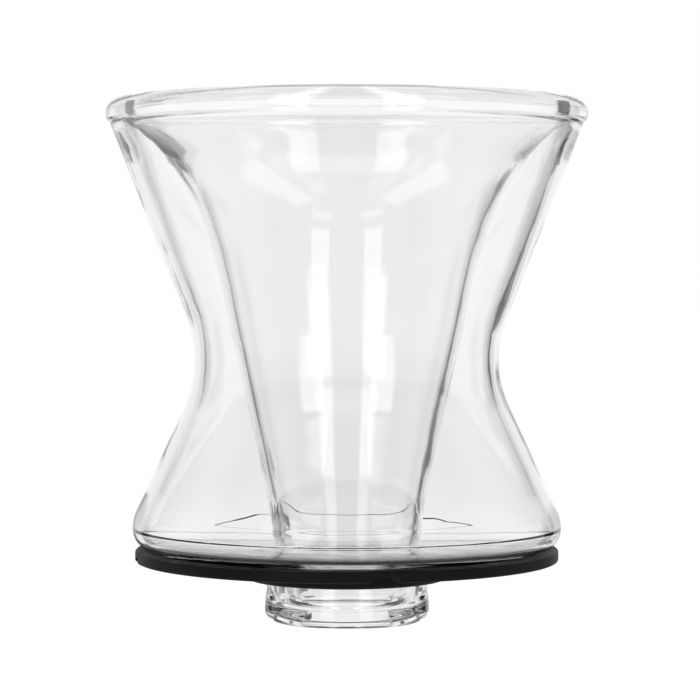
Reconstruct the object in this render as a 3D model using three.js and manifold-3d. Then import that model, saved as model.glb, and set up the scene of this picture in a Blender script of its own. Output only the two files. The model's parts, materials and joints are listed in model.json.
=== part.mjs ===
// A double-walled glass pour-over dripper on a removable silicone base.
// Millimetres, +Z up. The origin is on the axis of revolution, level with the lower end of the drip spout.
// Outlines are drawn in the radius-height plane and revolved about the Z axis.

import * as THREE from "three";
import { mergeVertices } from "three/addons/utils/BufferGeometryUtils.js";
import Module from "manifold-3d";

// ---- Driving dimensions ----

const HEIGHT = 130;
const RIM_RADIUS = 60;
const GAP = 0.3; // between pieces that touch
const SEGMENTS = 48; // round the axis

const BEAD_RADIUS = 3.5; // section of the rolled rim, where liner and jacket are fused
const BEAD_LOW_Z = 124.8;
const BEAD_END = 200; // where the mouth leaves the bead, in degrees round its section from +R
const BEAD_STEPS = 14;

const JACKET_WALL = 2.8;
const FLOOR_WALL = 2;
const FULL_WALL_Z = 34; // the wall thins from here down to the floor
const FLANK_POINT = [41.8, 80.2]; // on the straight upper flank
const UPPER_FLANK = 21.3; // degrees from vertical
const WAIST_CORNER = [35.64, 64.42]; // where the two straight flanks would meet
const WAIST_ROUND = 28.2;
const FOOT_RADIUS = 53.6; // the widest part of the foot
const FOOT_CORNER_Z = 25.74; // where the lower flank would reach that radius
const FOOT_UPPER_ROUND = 10.8;
const FOOT_LOWER_ROUND = 5.1;

const FUNNEL_WALL = 2.2;
const MOUTH_SLOPE = 48; // degrees from vertical
const MOUTH_ROUND = 34; // inside radius of the bend between mouth and throat
const THROAT_POINT = [34.6, 102.7]; // on the inside of the throat
const THROAT_SLOPE = 24;
const THROAT_ROUND = 100;
const CONE_POINT = [17.1, 28]; // on the inside of the straight cone
const CONE_SLOPE = 12;

const SPOUT_RADIUS = 20.6;
const SPOUT_WIDEST_Z = 3.2;
const NECK_RADIUS = 20.1;
const NECK_LOW_Z = 8;
const SPOUT_INNER = 17.6; // inside of the tube round the cone's tip
const SPOUT_TOP_Z = 20;
const SPOUT_TOP_ROUND = 2;
const LIP_TOP_Z = 4; // tube and cone are fused in a solid lip below this
const LIP_ROUND = 3;
const LIP_BORE_ROUND = 0.8;

const DISC_RADIUS = 52.9;
const DISC_TOP_Z = 18;
const DISC_LOW_Z = 15.2;
const DISC_EDGE_ROUND = 0.6;
const COLLAR_RADIUS = 25.3;
const COLLAR_LOW_Z = 10.5;
const COLLAR_ROUND = 1;
const BASE_BORE = SPOUT_RADIUS + GAP;

const VENTS = 4; // radial channels across the disc's underside
const VENT_WIDTH = 6.8;
const VENT_DEPTH = 1.4;
const VENT_INNER_RADIUS = COLLAR_RADIUS + 1;
const VENT_TURN = -80.6; // degrees from +X to the first vent

const FLOOR_LOW_Z = DISC_TOP_Z + GAP;

// ---- Outline helpers ----

const radians = THREE.MathUtils.degToRad;
const degrees = THREE.MathUtils.radToDeg;

function arc([r, z], radius, from, to, steps) {
  const points = [];
  for (let i = 0; i <= steps; i++) {
    const angle = radians(from + ((to - from) * i) / steps);
    points.push([r + radius * Math.cos(angle), z + radius * Math.sin(angle)]);
  }
  return points;
}

// The arc that rounds the corner between the straight stretches from before and on to after.
function roundCorner(before, corner, after, radius, steps) {
  const here = new THREE.Vector2(...corner);
  const back = new THREE.Vector2(...before).sub(here).normalize();
  const on = new THREE.Vector2(...after).sub(here).normalize();
  const half = Math.acos(back.dot(on)) / 2;
  const centre = back.clone().add(on).setLength(radius / Math.sin(half)).add(here);
  const along = radius / Math.tan(half);
  const start = here.clone().addScaledVector(back, along).sub(centre);
  const end = here.clone().addScaledVector(on, along).sub(centre);
  const turn = Math.atan2(start.cross(end), start.dot(end));
  const from = degrees(start.angle());
  return arc([centre.x, centre.y], radius, from, from + degrees(turn), steps);
}

// A line through corners written [radius, height, rounding, steps], with no rounding at its two ends.
function roundedLine(corners) {
  const line = [];
  corners.forEach(([r, z, round, steps], i) => {
    if (!round) {
      line.push([r, z]);
      return;
    }
    const before = corners[i - 1].slice(0, 2);
    const after = corners[i + 1].slice(0, 2);
    line.push(...roundCorner(before, [r, z], after, round, steps));
  });
  return line;
}

// The line moved sideways by a distance that may depend on height, to the right of its direction.
function offsetLine(line, distanceAt) {
  return line.map(([r, z], i) => {
    const [r0, z0] = line[Math.max(i - 1, 0)];
    const [r1, z1] = line[Math.min(i + 1, line.length - 1)];
    const share = distanceAt(z) / Math.hypot(r1 - r0, z1 - z0);
    return [r + (z1 - z0) * share, z - (r1 - r0) * share];
  });
}

// The radius of a straight line at height z, from a point on it and its slope from vertical.
const radiusAt = (z, [r, through], slope) => r + Math.tan(radians(slope)) * (z - through);

// Where two such lines cross.
function crossing(upper, upperSlope, lower, lowerSlope) {
  const apart = upper[0] - radiusAt(upper[1], lower, lowerSlope);
  const z = upper[1] - apart / (Math.tan(radians(upperSlope)) - Math.tan(radians(lowerSlope)));
  return [radiusAt(z, lower, lowerSlope), z];
}

// The solid of revolution of a closed outline that runs anticlockwise.
function revolve(outline) {
  const profile = [...outline, outline[0]].map(([r, z]) => new THREE.Vector2(r, z));
  return new THREE.LatheGeometry(profile, SEGMENTS).rotateX(Math.PI / 2);
}

// ---- Booleans ----

const wasm = await Module();
wasm.setup();

function toSolid(geometry) {
  const bare = geometry.clone();
  bare.deleteAttribute("normal");
  bare.deleteAttribute("uv");
  const merged = mergeVertices(bare, 1e-3);
  const vertProperties = merged.attributes.position.array;
  const triVerts = new Uint32Array(merged.index.array);
  return new wasm.Manifold(new wasm.Mesh({ numProp: 3, vertProperties, triVerts }));
}

function toGeometry(solid) {
  const { vertProperties, triVerts } = solid.getMesh();
  const indexed = new THREE.BufferGeometry();
  indexed.setAttribute("position", new THREE.BufferAttribute(vertProperties, 3));
  indexed.setIndex(new THREE.BufferAttribute(triVerts, 1));
  const faceted = indexed.toNonIndexed();
  faceted.computeVertexNormals();
  return faceted;
}

// ---- Pieces ----

// The hourglass wall with its rounded foot, and the flat floor with a hole for the spout.
function outerJacket() {
  const topZ = BEAD_LOW_Z - GAP;
  const outside = roundedLine([
    [radiusAt(topZ, FLANK_POINT, UPPER_FLANK), topZ],
    [...WAIST_CORNER, WAIST_ROUND, 8],
    [FOOT_RADIUS, FOOT_CORNER_Z, FOOT_UPPER_ROUND, 3],
    [FOOT_RADIUS, FLOOR_LOW_Z, FOOT_LOWER_ROUND, 6],
    [NECK_RADIUS + GAP, FLOOR_LOW_Z],
  ]);
  const inside = offsetLine(outside, (z) =>
    THREE.MathUtils.lerp(FLOOR_WALL, JACKET_WALL, THREE.MathUtils.smoothstep(z, FLOOR_LOW_Z, FULL_WALL_Z)),
  );
  inside[0] = [radiusAt(topZ, inside[1], UPPER_FLANK), topZ];
  return revolve([...inside, ...outside.reverse()]);
}

// The liner that holds the filter, from the rolled rim at its top edge down to the lip of the spout.
function innerFunnel() {
  const centre = [RIM_RADIUS - BEAD_RADIUS, HEIGHT - BEAD_RADIUS];
  const beadStart = -degrees(Math.asin((centre[1] - BEAD_LOW_Z) / BEAD_RADIUS));
  const bead = arc(centre, BEAD_RADIUS, beadStart, BEAD_END, BEAD_STEPS);
  const mouthTop = bead.pop();
  const tipZ = LIP_TOP_Z + GAP;
  const inside = roundedLine([
    mouthTop,
    [...crossing(mouthTop, MOUTH_SLOPE, THROAT_POINT, THROAT_SLOPE), MOUTH_ROUND, 5],
    [...crossing(THROAT_POINT, THROAT_SLOPE, CONE_POINT, CONE_SLOPE), THROAT_ROUND, 3],
    [radiusAt(tipZ, CONE_POINT, CONE_SLOPE), tipZ],
  ]);
  const outside = offsetLine(inside, () => -FUNNEL_WALL);
  const last = outside.length - 1;
  outside[0] = [radiusAt(BEAD_LOW_Z, outside[1], MOUTH_SLOPE), BEAD_LOW_Z];
  outside[last] = [radiusAt(tipZ, outside[last - 1], CONE_SLOPE), tipZ];
  return revolve([...inside, ...outside.reverse(), ...bead]);
}

// The tube round the cone's tip, with the thick fire-polished lip that joins the two.
function dripSpout() {
  return revolve(
    roundedLine([
      [radiusAt(LIP_TOP_Z, CONE_POINT, CONE_SLOPE), LIP_TOP_Z],
      [radiusAt(0, CONE_POINT, CONE_SLOPE), 0, LIP_BORE_ROUND, 2],
      [SPOUT_RADIUS, 0, LIP_ROUND, 5],
      [SPOUT_RADIUS, SPOUT_WIDEST_Z],
      [NECK_RADIUS, NECK_LOW_Z],
      [NECK_RADIUS, SPOUT_TOP_Z],
      [SPOUT_INNER, SPOUT_TOP_Z, SPOUT_TOP_ROUND, 3],
      [SPOUT_INNER, LIP_TOP_Z],
    ]),
  );
}

// The disc that rests on the cup and the collar that grips the spout, with the vent channels cut.
function siliconeBase() {
  const body = revolve(
    roundedLine([
      [BASE_BORE, DISC_TOP_Z],
      [BASE_BORE, COLLAR_LOW_Z],
      [COLLAR_RADIUS, COLLAR_LOW_Z, COLLAR_ROUND, 3],
      [COLLAR_RADIUS, DISC_LOW_Z],
      [DISC_RADIUS, DISC_LOW_Z, DISC_EDGE_ROUND, 2],
      [DISC_RADIUS, DISC_TOP_Z, DISC_EDGE_ROUND, 2],
      [BASE_BORE, DISC_TOP_Z],
    ]).slice(1),
  );
  const length = DISC_RADIUS + 1 - VENT_INNER_RADIUS;
  const channel = new THREE.BoxGeometry(length, VENT_WIDTH, 2 * VENT_DEPTH);
  channel.translate(VENT_INNER_RADIUS + length / 2, 0, DISC_LOW_Z);
  let solid = toSolid(body);
  for (let i = 0; i < VENTS; i++) {
    const turn = radians(VENT_TURN + (360 * i) / VENTS);
    solid = solid.subtract(toSolid(channel.clone().rotateZ(turn)));
  }
  return toGeometry(solid);
}

// ---- Assembly ----

const glass = { color: 0xe8edec, roughness: 0.04, metalness: 0, transparent: true, opacity: 0.35 };
const silicone = { color: 0x1b1b1c, roughness: 0.62, metalness: 0 };

function piece(name, geometry, look) {
  const mesh = new THREE.Mesh(geometry, new THREE.MeshStandardMaterial(look));
  mesh.name = name;
  return mesh;
}

const vessel = new THREE.Group();
vessel.add(
  piece("outer_jacket", outerJacket(), glass),
  piece("inner_funnel", innerFunnel(), glass),
  piece("drip_spout", dripSpout(), glass),
);

const dripper = new THREE.Group();
dripper.add(vessel, piece("silicone_base", siliconeBase(), silicone));

export default dripper;
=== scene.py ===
"""A double-walled glass pour-over dripper on its black silicone base, above a pale studio floor."""

import json
import math

import bmesh
import bpy
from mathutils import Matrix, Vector, noise


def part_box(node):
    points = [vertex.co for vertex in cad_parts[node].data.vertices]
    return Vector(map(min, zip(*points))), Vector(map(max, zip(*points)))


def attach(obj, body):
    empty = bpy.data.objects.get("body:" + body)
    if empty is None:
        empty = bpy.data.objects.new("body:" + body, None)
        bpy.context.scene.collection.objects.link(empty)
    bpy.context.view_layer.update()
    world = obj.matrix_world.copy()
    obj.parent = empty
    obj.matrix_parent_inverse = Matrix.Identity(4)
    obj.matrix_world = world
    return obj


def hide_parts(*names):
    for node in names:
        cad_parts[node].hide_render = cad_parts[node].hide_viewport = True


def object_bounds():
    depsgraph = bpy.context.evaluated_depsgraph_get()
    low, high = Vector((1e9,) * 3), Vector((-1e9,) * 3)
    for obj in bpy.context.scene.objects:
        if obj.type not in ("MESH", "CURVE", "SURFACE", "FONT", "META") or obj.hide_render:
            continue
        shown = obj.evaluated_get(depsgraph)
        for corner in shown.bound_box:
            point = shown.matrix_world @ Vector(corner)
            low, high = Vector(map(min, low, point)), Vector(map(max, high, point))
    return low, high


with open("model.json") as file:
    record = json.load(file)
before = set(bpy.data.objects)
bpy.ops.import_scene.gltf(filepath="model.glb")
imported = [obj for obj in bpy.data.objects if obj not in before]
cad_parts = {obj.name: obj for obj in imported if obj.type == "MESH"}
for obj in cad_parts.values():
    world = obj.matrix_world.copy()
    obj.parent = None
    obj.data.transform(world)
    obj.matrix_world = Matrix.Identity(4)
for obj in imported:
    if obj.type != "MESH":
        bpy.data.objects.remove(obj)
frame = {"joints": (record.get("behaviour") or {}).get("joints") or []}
cad_low, cad_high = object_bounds()

MM = 0.001
VESSEL = "glass_vessel"
BASE = "base"

# ---- Sizes, in millimetres. Those that the frame knows come from it. ----

disc_low, disc_high = (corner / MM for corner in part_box("silicone_base"))
spout_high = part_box("drip_spout")[1] / MM

HEIGHT = cad_high.z / MM
RIM_RADIUS = cad_high.x / MM
BEAD_RADIUS = 3.5
BEAD_LOW_Z = 124.8
BEAD_END = 200  # degrees round the bead's section, where the line of the liner's inside meets it
BEAD_CREASE = 12  # degrees before that, where the bead itself ends in a small crease
BEAD_CREASE_ROUND = 0.7

JACKET_WALL = 2.8
JACKET_THINNING = 0.5  # how much thinner the wall is at the rim
FLOOR_WALL = 2
FULL_WALL_Z = 34
JACKET_TOP_Z = BEAD_LOW_Z - 0.35  # the skin runs straight on from here to the bead
FLANK_POINT = (41.8, 80.2)
UPPER_FLANK = 21.3
WAIST_CORNER = (35.64, 64.42)
WAIST_ROUND = 28.2
FOOT_RADIUS = 53.6
FOOT_CORNER_Z = 25.74
FOOT_UPPER_ROUND = 10.8
FOOT_LOWER_ROUND = 5.3
FLOOR_LOW_Z = disc_high.z + 0.04

FUNNEL_WALL = 2.2
FUNNEL_THINNING = 0.3
THINNING_Z = (112, 123)  # both walls thin over these heights
MOUTH_SLOPE = 48
MOUTH_ROUND = 34
THROAT_POINT = (34.6, 102.7)
THROAT_SLOPE = 24
THROAT_ROUND = 100
CONE_POINT = (17.1, 28)
CONE_SLOPE = 12

SPOUT_RADIUS = spout_high.x
SPOUT_WIDEST_Z = 4.6
SPOUT_INNER = 17.6
NECK_RADIUS = 20.1
NECK_LOW_Z = 8
NECK_BLEND = 10
NECK_ROOT_ROUND = 0.5
UNDERSIDE_SEAM = NECK_RADIUS + 4  # where the outlines of spout and jacket join under the floor
LIP_TOP_Z = 4
LIP_ROUND = 3
LIP_BORE_ROUND = 0.8

CAVITY_TOP_Z = 123.5
CAVITY_TOP_ROUND = 0.3
CAVITY_FLOOR_EDGE = NECK_RADIUS + 3
CAVITY_FLOOR_ROUND = 2.6
CAVITY_LIP_ROUND = 1.6
CAVITY_CONE_ROUND = 1.2
CAVITY_CONE_Z = 10  # below this the cone's outside is one straight line

DISC_RADIUS = 52.9
DISC_LOW_Z = 15.2
DISC_ROUND = 0.6
DISC_TOP_ROUND = 0.5
COLLAR_RADIUS = 25.3
COLLAR_ROUND = 1
BORE_RADIUS = NECK_RADIUS - 0.1  # pressed on to the glass, so that it shows black through the neck
BORE_ROUND = 0.5
MOULDED_EDGE = 0.25
VENTS = 4
VENT_WIDTH = 6.8
VENT_DEPTH = 1.4
VENT_START = COLLAR_RADIUS + 1
VENT_END = DISC_RADIUS + 4
VENT_ROUND = 0.6
VENT_TURN = -80.6
PULL = frame["joints"][0]["range_m"][1] / MM  # how far the base slides down

GLASS_SEGMENTS = 192
GLASS_SPACING = 1.4
OFFSET_SPACING = 3
BASE_SEGMENTS = 256
BASE_SPACING = 3

# The unevenness of blown glass: the size of its waves, and how far they go up and down.
LONG_WAVE = 28
SHORT_WAVE = 6
SKIN_WAVES = 0.04
CAVITY_WAVES = 0.07
FLOOR_UNDERSIDE_WAVES = 0.04
FLOOR_TOP_WAVES = 0.25
FLOOR_WAVES_Z = (19.5, 21)  # the short waves are only in the floor, and fade out over these heights
FLOOR_WAVES_IN = (SPOUT_RADIUS, 30)  # and over these radii, towards the spout
FLOOR_WAVES_OUT = (43, 49)  # and towards the foot


# ---- Outlines in the radius-height plane ----


def arc(centre, radius, start, end, steps):
    """Points on an arc, with angles in degrees."""
    angles = [math.radians(start + (end - start) * i / steps) for i in range(steps + 1)]
    return [Vector((centre[0] + radius * math.cos(a), centre[1] + radius * math.sin(a))) for a in angles]


def round_corner(before, corner, after, radius, steps):
    """The arc that rounds the corner between the straight stretches from before and on to after."""
    back = (before - corner).normalized()
    on = (after - corner).normalized()
    half = back.angle(on) / 2
    centre = corner + (back + on).normalized() * (radius / math.sin(half))
    start = corner + back * (radius / math.tan(half)) - centre
    end = corner + on * (radius / math.tan(half)) - centre
    turn = math.degrees(math.atan2(start.x * end.y - start.y * end.x, start.dot(end)))
    first = math.degrees(math.atan2(start.y, start.x))
    return arc(centre, radius, first, first + turn, steps)


def rounded_line(corners):
    """A line through corners written (radius, height) or (radius, height, rounding, steps)."""
    points = [Vector(c[:2]) for c in corners]
    line = []
    for i, corner in enumerate(corners):
        if len(corner) > 2:
            line += round_corner(points[i - 1], points[i], points[i + 1], *corner[2:])
        else:
            line.append(points[i])
    return line


def offset_line(line, distance_at):
    """The line moved sideways, to the right of its direction, by a distance that may depend on height."""
    moved = []
    for i, p in enumerate(line):
        along = (line[min(i + 1, len(line) - 1)] - line[max(i - 1, 0)]).normalized()
        moved.append(p + Vector((along.y, -along.x)) * distance_at(p.y))
    return moved


def radius_at(z, through, slope):
    """The radius of a straight line at height z, from a point on it and its slope from vertical."""
    return through[0] + math.tan(math.radians(slope)) * (z - through[1])


def crossing(upper, upper_slope, lower, lower_slope):
    """Where two such lines cross."""
    rises = math.tan(math.radians(upper_slope)) - math.tan(math.radians(lower_slope))
    z = upper[1] - (upper[0] - radius_at(upper[1], lower, lower_slope)) / rises
    return radius_at(z, lower, lower_slope), z


def smoothstep(low, high, value):
    t = min(max((value - low) / (high - low), 0), 1)
    return t * t * (3 - 2 * t)


def evenly(line, spacing):
    """The line with points added, so that none are further apart than spacing."""
    dense = []
    for p, q in zip(line, line[1:], strict=False):
        steps = max(1, math.ceil((q - p).length / spacing))
        dense += [p.lerp(q, i / steps) for i in range(steps)]
    return [*dense, line[-1]]


# ---- Meshes ----


def add_ring_surface(outline, spacing, segments, move, vertices, faces):
    """Adds the surface of revolution of a closed outline. move(point, out, angle) may shift its points."""
    outline = evenly([*outline, outline[0]], spacing)[:-1]
    first, rows = len(vertices), len(outline)
    for k in range(segments):
        angle = 2 * math.pi * k / segments
        for i, p in enumerate(outline):
            along = (outline[(i + 1) % rows] - outline[i - 1]).normalized()
            r, z = move(p, Vector((along.y, -along.x)), angle)
            vertices.append((r * math.cos(angle) * MM, r * math.sin(angle) * MM, z * MM))
    for k in range(segments):
        here, there = first + k * rows, first + (k + 1) % segments * rows
        for i in range(rows):
            j = (i + 1) % rows
            faces.append((here + i, there + i, there + j, here + j))


def mesh_object(name, vertices, faces):
    mesh = bpy.data.meshes.new(name)
    mesh.from_pydata(vertices, [], faces)
    mesh.validate()
    mesh.shade_smooth()
    piece = bpy.data.objects.new(name, mesh)
    bpy.context.scene.collection.objects.link(piece)
    return piece


# ---- The glass vessel ----


def jacket_wall(z):
    full = FLOOR_WALL + (JACKET_WALL - FLOOR_WALL) * smoothstep(FLOOR_LOW_Z, FULL_WALL_Z, z)
    return full - JACKET_THINNING * smoothstep(*THINNING_Z, z)


def funnel_wall(z):
    return FUNNEL_WALL - FUNNEL_THINNING * smoothstep(*THINNING_Z, z)


def glass_outlines():
    """(the skin of the glass, the sealed space between its walls), both with the glass on their left."""
    bead_centre = (RIM_RADIUS - BEAD_RADIUS, HEIGHT - BEAD_RADIUS)
    bead_start = -math.degrees(math.asin((bead_centre[1] - BEAD_LOW_Z) / BEAD_RADIUS))
    mouth_top = arc(bead_centre, BEAD_RADIUS, BEAD_END, BEAD_END, 1)[0]
    bead_end = BEAD_END - BEAD_CREASE
    bead = arc(bead_centre, BEAD_RADIUS, bead_start, bead_end, 40)
    crease = crossing(mouth_top, MOUTH_SLOPE, bead[-1], 180 - bead_end)
    throat_top = crossing(mouth_top, MOUTH_SLOPE, THROAT_POINT, THROAT_SLOPE)
    cone_top = crossing(THROAT_POINT, THROAT_SLOPE, CONE_POINT, CONE_SLOPE)
    cone_tip = radius_at(0, CONE_POINT, CONE_SLOPE)
    bends = [(*throat_top, MOUTH_ROUND, 20), (*cone_top, THROAT_ROUND, 12)]
    funnel = rounded_line([
        tuple(bead.pop()),
        (*crease, BEAD_CREASE_ROUND, 5),
        *bends,
        (cone_tip, 0, LIP_BORE_ROUND, 6),
        (SPOUT_RADIUS, 0, LIP_ROUND, 12),
        (SPOUT_RADIUS, SPOUT_WIDEST_Z, NECK_BLEND, 4),
        (NECK_RADIUS, NECK_LOW_Z, NECK_BLEND, 4),
        (NECK_RADIUS, FLOOR_LOW_Z, NECK_ROOT_ROUND, 3),
        (UNDERSIDE_SEAM, FLOOR_LOW_Z),
    ])
    jacket = rounded_line([
        (radius_at(JACKET_TOP_Z, FLANK_POINT, UPPER_FLANK), JACKET_TOP_Z),
        (*WAIST_CORNER, WAIST_ROUND, 24),
        (FOOT_RADIUS, FOOT_CORNER_Z, FOOT_UPPER_ROUND, 10),
        (FOOT_RADIUS, FLOOR_LOW_Z, FOOT_LOWER_ROUND, 16),
        (UNDERSIDE_SEAM, FLOOR_LOW_Z),
    ])
    skin = funnel + jacket[-2::-1] + bead

    liner = evenly(rounded_line([tuple(mouth_top), *bends, (cone_tip, 0)]), OFFSET_SPACING)
    outer = offset_line(evenly(jacket, OFFSET_SPACING), jacket_wall)
    outer = [p for p in outer if p.x > CAVITY_FLOOR_EDGE and p.y < CAVITY_TOP_Z]
    inner = offset_line(liner, lambda z: -funnel_wall(z))
    inner = [p for p in inner if CAVITY_CONE_Z < p.y < CAVITY_TOP_Z]
    apex = crossing(inner[0], MOUTH_SLOPE, outer[0], UPPER_FLANK)
    cone_foot = radius_at(LIP_TOP_Z, inner[-1], CONE_SLOPE)
    neck = rounded_line([
        tuple(outer.pop()),
        (SPOUT_INNER, FLOOR_LOW_Z + FLOOR_WALL, CAVITY_FLOOR_ROUND, 8),
        (SPOUT_INNER, LIP_TOP_Z, CAVITY_LIP_ROUND, 6),
        (cone_foot, LIP_TOP_Z, CAVITY_CONE_ROUND, 6),
        tuple(inner.pop()),
    ])
    top = round_corner(inner[0], Vector(apex), outer[0], CAVITY_TOP_ROUND, 5)
    return skin, [*outer, *neck, *inner[::-1], *top]


def blown(walls, floor):
    """The slight unevenness of blown glass: long waves in the walls, short ones in the floor."""

    def move(p, out, angle):
        place = Vector((p.x * math.cos(angle), p.x * math.sin(angle), p.y))
        in_floor = (1 - smoothstep(*FLOOR_WAVES_Z, p.y)) * smoothstep(*FLOOR_WAVES_IN, p.x)
        short = noise.noise(place / SHORT_WAVE) * in_floor * (1 - smoothstep(*FLOOR_WAVES_OUT, p.x))
        return p + out * (walls * noise.noise(place / LONG_WAVE) + floor * short)

    return move


def make_glass():
    vertices, faces = [], []
    skin, cavity = glass_outlines()
    skin_waves = blown(SKIN_WAVES, FLOOR_UNDERSIDE_WAVES)
    cavity_waves = blown(CAVITY_WAVES, FLOOR_TOP_WAVES)
    add_ring_surface(skin, GLASS_SPACING, GLASS_SEGMENTS, skin_waves, vertices, faces)
    add_ring_surface(cavity, GLASS_SPACING, GLASS_SEGMENTS, cavity_waves, vertices, faces)
    return mesh_object("glass_vessel", vertices, faces)


# ---- The silicone base ----


def vent_cutter(turn):
    """A round-cornered bar along a vent channel."""
    cutter = bmesh.new()
    bmesh.ops.create_cube(cutter, size=1)
    length = VENT_END - VENT_START
    bmesh.ops.scale(cutter, vec=(length, VENT_WIDTH, 2 * VENT_DEPTH), verts=cutter.verts)
    bmesh.ops.bevel(cutter, geom=cutter.edges[:], offset=VENT_ROUND, segments=4, profile=0.5, affect="EDGES")
    bmesh.ops.translate(cutter, vec=(VENT_START + length / 2, 0, DISC_LOW_Z), verts=cutter.verts)
    bmesh.ops.scale(cutter, vec=(MM, MM, MM), verts=cutter.verts)
    mesh = bpy.data.meshes.new("vent_cutter")
    cutter.to_mesh(mesh)
    cutter.free()
    bar = bpy.data.objects.new("vent_cutter", mesh)
    bar.rotation_euler.z = math.radians(turn)
    bpy.context.scene.collection.objects.link(bar)
    return bar


def apply_modifiers(piece):
    bpy.context.view_layer.update()
    ready = piece.evaluated_get(bpy.context.evaluated_depsgraph_get())
    mesh = bpy.data.meshes.new_from_object(ready)
    piece.modifiers.clear()
    piece.data = mesh


def make_base():
    outline = rounded_line([
        (BORE_RADIUS, disc_high.z),
        (BORE_RADIUS, disc_low.z, BORE_ROUND, 3),
        (COLLAR_RADIUS, disc_low.z, COLLAR_ROUND, 6),
        (COLLAR_RADIUS, DISC_LOW_Z, DISC_ROUND, 4),
        (DISC_RADIUS, DISC_LOW_Z, DISC_ROUND, 5),
        (DISC_RADIUS, disc_high.z, DISC_TOP_ROUND, 5),
        (BORE_RADIUS + 1, disc_high.z),
    ])
    vertices, faces = [], []
    add_ring_surface(outline, BASE_SPACING, BASE_SEGMENTS, lambda p, out, angle: p, vertices, faces)
    base = mesh_object("silicone_rest", vertices, faces)
    cutters = [vent_cutter(VENT_TURN + 360 * i / VENTS) for i in range(VENTS)]
    for cutter in cutters:
        cut = base.modifiers.new("vent", "BOOLEAN")
        cut.object = cutter
        cut.solver = "EXACT"
    edges = base.modifiers.new("moulded_edges", "BEVEL")
    edges.width = MOULDED_EDGE * MM
    edges.segments = 2
    edges.angle_limit = math.radians(40)
    apply_modifiers(base)
    for cutter in cutters:
        bpy.data.objects.remove(cutter)
    return base


# ---- Node helpers ----


def new_material(name):
    material = bpy.data.materials.new(name)
    material.use_nodes = True
    shader = material.node_tree.nodes["Principled BSDF"]
    return material, material.node_tree, shader


def noise_texture(tree, coordinates, scale, detail):
    texture = tree.nodes.new("ShaderNodeTexNoise")
    texture.inputs["Scale"].default_value = scale
    texture.inputs["Detail"].default_value = detail
    tree.links.new(coordinates, texture.inputs["Vector"])
    return texture.outputs["Fac"]


def object_coordinates(tree):
    return tree.nodes.new("ShaderNodeTexCoord").outputs["Object"]


def map_range(tree, value, from_low, from_high, to_low, to_high, smooth=False):
    node = tree.nodes.new("ShaderNodeMapRange")
    node.interpolation_type = "SMOOTHSTEP" if smooth else "LINEAR"
    tree.links.new(value, node.inputs["Value"])
    ends = {"From Min": from_low, "From Max": from_high, "To Min": to_low, "To Max": to_high}
    for end, number in ends.items():
        node.inputs[end].default_value = number
    return node.outputs["Result"]


def bump(tree, height, strength, distance):
    node = tree.nodes.new("ShaderNodeBump")
    node.inputs["Strength"].default_value = strength
    node.inputs["Distance"].default_value = distance
    tree.links.new(height, node.inputs["Height"])
    return node.outputs["Normal"]


def math_node(tree, operation, *values):
    node = tree.nodes.new("ShaderNodeMath")
    node.operation = operation
    for socket, value in zip(node.inputs, values, strict=False):
        if isinstance(value, (int, float)):
            socket.default_value = value
        else:
            tree.links.new(value, socket)
    return node.outputs["Value"]


# ---- Materials ----


def clear_glass():
    """Clear glass with faint smudges and a slight ripple."""
    material, tree, shader = new_material("clear_glass")
    shader.inputs["Base Color"].default_value = (0.978, 0.979, 0.979, 1)
    shader.inputs["IOR"].default_value = 1.474
    shader.inputs["Transmission Weight"].default_value = 1
    place = object_coordinates(tree)
    smudges = noise_texture(tree, place, 60, 3)
    tree.links.new(map_range(tree, smudges, 0.4, 0.7, 0, 0.02), shader.inputs["Roughness"])
    ripple = noise_texture(tree, place, 90, 1)
    tree.links.new(bump(tree, ripple, 0.15, 0.0004), shader.inputs["Normal"])
    return material


def black_silicone():
    """Matte black silicone with a fine moulded grain and a cloudy sheen."""
    material, tree, shader = new_material("black_silicone")
    shader.inputs["Base Color"].default_value = (0.004, 0.004, 0.0041, 1)
    shader.inputs["IOR"].default_value = 1.4
    shader.inputs["Specular IOR Level"].default_value = 0.14
    place = object_coordinates(tree)
    grain = noise_texture(tree, place, 2600, 2)
    cloud = noise_texture(tree, place, 110, 4)
    tree.links.new(map_range(tree, cloud, 0.3, 0.7, 0.42, 0.58), shader.inputs["Roughness"])
    tree.links.new(bump(tree, grain, 0.25, 0.00008), shader.inputs["Normal"])
    return material


# ---- Studio ----

# How bright the parts of the surround are. White is 1.
BACKDROP = 1
BACKDROP_SIDES = 0.84
DARK_ROOM = 0.35
TABLE = 0.9
LEFT_FLAG = 0.2
RIGHT_FLAG = 0.06
SOFTBOX = 2.4
SOFTBOX_TOP = 1.7
LEFT_CARD = 0.2
LEFT_CARD_TOP = 0.15
LEFT_TABLE_EDGE = 0.08
RIGHT_TABLE_EDGE = 0.15
CEILING_STRIP = 1.7
CEILING_PATCH = 2

FLOOR_HALF_WIDTH = 6  # metres
FLOOR_GLOW = 0.97
FLOOR_GAP = 0.5  # millimetres, under the base when it is pulled off


def make_floor():
    """A pale floor that glows, like a lit table, and stays clear of the base when that is pulled off."""
    level = (disc_low.z - PULL - FLOOR_GAP) * MM
    corners = ((-1, -1), (1, -1), (1, 1), (-1, 1))
    vertices = [(x * FLOOR_HALF_WIDTH, y * FLOOR_HALF_WIDTH, level) for x, y in corners]
    floor = mesh_object("floor", vertices, [(0, 1, 2, 3)])
    material, _, shader = new_material("floor")
    shader.inputs["Base Color"].default_value = (0.12, 0.12, 0.12, 1)
    shader.inputs["Roughness"].default_value = 0.9
    shader.inputs["Specular IOR Level"].default_value = 0
    shader.inputs["Emission Color"].default_value = (1, 1, 1, 1)
    shader.inputs["Emission Strength"].default_value = FLOOR_GLOW
    floor.data.materials.append(material)
    floor.visible_transmission = False
    floor.visible_glossy = False
    floor.visible_diffuse = False


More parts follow.
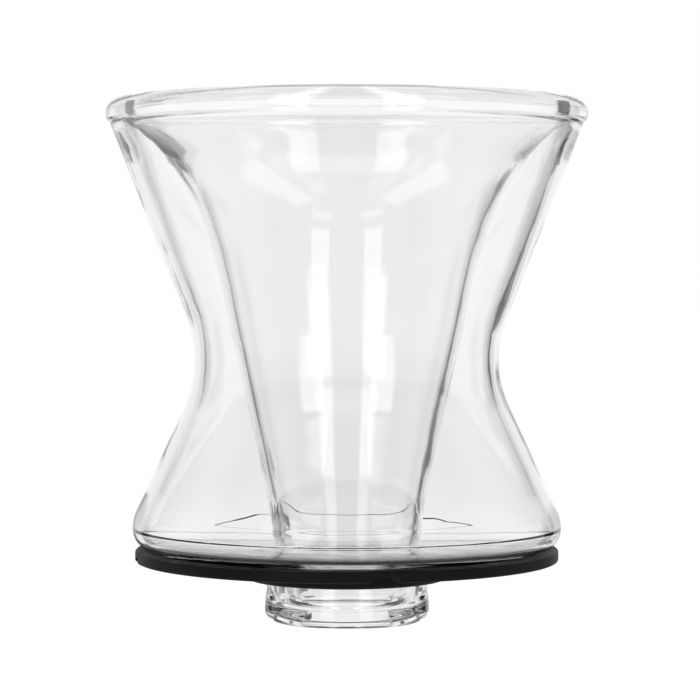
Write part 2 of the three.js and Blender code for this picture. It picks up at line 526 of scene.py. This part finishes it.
def make_studio():
    """A white backdrop with dark flags beside it, two tall softboxes in front and lights in the ceiling.

    It is painted on the world by direction. Azimuth is 0 behind the object and grows towards +X. The camera
    sees plain white, so the flags and lights show only through the glass and in its reflections.
    """
    world = bpy.data.worlds.new("studio")
    bpy.context.scene.world = world
    world.use_nodes = True
    tree = world.node_tree
    out = tree.nodes["Background"]
    split = tree.nodes.new("ShaderNodeSeparateXYZ")
    tree.links.new(tree.nodes.new("ShaderNodeTexCoord").outputs["Generated"], split.inputs[0])
    azimuth = math_node(tree, "ARCTAN2", split.outputs["X"], split.outputs["Y"])
    sideways = math_node(tree, "ABSOLUTE", azimuth)
    elevation = math_node(tree, "ARCSINE", split.outputs["Z"])
    height = math_node(tree, "MAXIMUM", split.outputs["Z"], 0.01)
    ceiling_x = math_node(tree, "ABSOLUTE", math_node(tree, "DIVIDE", split.outputs["X"], height))
    ceiling_y = math_node(tree, "DIVIDE", split.outputs["Y"], height)

    def band(value, low, high, soft):
        """1 where value is from low to high, falling to 0 over soft outside them."""
        rise = map_range(tree, value, low - soft, low, 0, 1, True)
        fall = map_range(tree, value, high, high + soft, 1, 0, True)
        return math_node(tree, "MULTIPLY", rise, fall)

    def between(angle, low, high, soft):
        """The same for an angle, with the limits in degrees."""
        return band(angle, math.radians(low), math.radians(high), math.radians(soft))

    def both(first, second):
        return math_node(tree, "MULTIPLY", first, second)

    def painted(light, value, mask):
        """light, with value laid over it by mask."""
        step = math_node(tree, "SUBTRACT", value, light)
        return math_node(tree, "MULTIPLY_ADD", step, mask, light)

    light = map_range(tree, sideways, math.radians(8), math.radians(24), BACKDROP, BACKDROP_SIDES, True)
    light = painted(light, DARK_ROOM, between(sideways, 105, 200, 25))
    light = painted(light, TABLE, between(elevation, -100, -16, 20))

    # The flags draw the dark lines down the liner and the jacket.
    flags = between(elevation, -16, 10, 8)
    light = painted(light, LEFT_FLAG, both(between(azimuth, -48, -40, 4), flags))
    light = painted(light, RIGHT_FLAG, both(between(azimuth, 38, 48, 4), flags))

    softboxes = between(sideways, 144, 161, 1)
    light = painted(light, SOFTBOX, both(softboxes, between(elevation, -27, 40, 1)))
    above_softboxes = between(sideways, 144, 163, 1)
    light = painted(light, SOFTBOX_TOP, both(above_softboxes, between(elevation, 45, 46.5, 1)))

    # These dark things at the left and right show in the join of liner and jacket under the rim.
    card = between(azimuth, -33, -19, 3)
    light = painted(light, LEFT_CARD, both(card, between(elevation, -36, -17, 2)))
    card_top = between(azimuth, -22.5, -17.5, 1.5)
    light = painted(light, LEFT_CARD_TOP, both(card_top, between(elevation, -10, -7.5, 1)))
    table_edge = between(elevation, -16, -9.5, 1.5)
    light = painted(light, LEFT_TABLE_EDGE, both(between(azimuth, -24, -13, 1), table_edge))
    light = painted(light, RIGHT_TABLE_EDGE, both(between(azimuth, 26, 42, 2), table_edge))

    # The ceiling's lights are placed by how far they are to the side and behind, over their height.
    strip_x = band(ceiling_x, 0.46, 0.8, 0.02)
    light = painted(light, CEILING_STRIP, both(strip_x, band(ceiling_y, -0.62, 0.42, 0.04)))
    patch_x = band(ceiling_x, 0.15, 0.28, 0.02)
    light = painted(light, CEILING_PATCH, both(patch_x, band(ceiling_y, 0.08, 0.34, 0.02)))

    light = painted(light, 1, tree.nodes.new("ShaderNodeLightPath").outputs["Is Camera Ray"])
    out.inputs["Color"].default_value = (1, 1, 1, 1)
    tree.links.new(light, out.inputs["Strength"])


CAMERA_PLACE = Vector((0, -0.653, 0.0868))  # metres
CAMERA_AIM = Vector((0.0008, 0, 0.0677))
CAMERA_LENS = 134.3  # millimetres


def make_camera():
    """A long lens a little above the middle of the object, looking almost level."""
    camera = bpy.data.objects.new("camera", bpy.data.cameras.new("camera"))
    bpy.context.scene.collection.objects.link(camera)
    camera.location = CAMERA_PLACE
    camera.rotation_euler = (CAMERA_AIM - CAMERA_PLACE).to_track_quat("-Z", "Y").to_euler()
    camera.data.lens = CAMERA_LENS
    bpy.context.scene.camera = camera


def set_light_paths():
    """Enough bounces for light to cross every wall of the glass."""
    scene = bpy.context.scene
    scene.view_settings.view_transform = "Standard"
    scene.cycles.max_bounces = 40
    scene.cycles.transmission_bounces = 40
    scene.cycles.glossy_bounces = 16
    scene.cycles.diffuse_bounces = 4
    scene.cycles.transparent_max_bounces = 16


# ---- Assembly ----

glass = make_glass()
glass.data.materials.append(clear_glass())
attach(glass, VESSEL)
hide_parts("outer_jacket", "inner_funnel", "drip_spout")

base = make_base()
base.data.materials.append(black_silicone())
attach(base, BASE)
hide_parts("silicone_base")

make_floor()
make_studio()
make_camera()
set_light_paths()
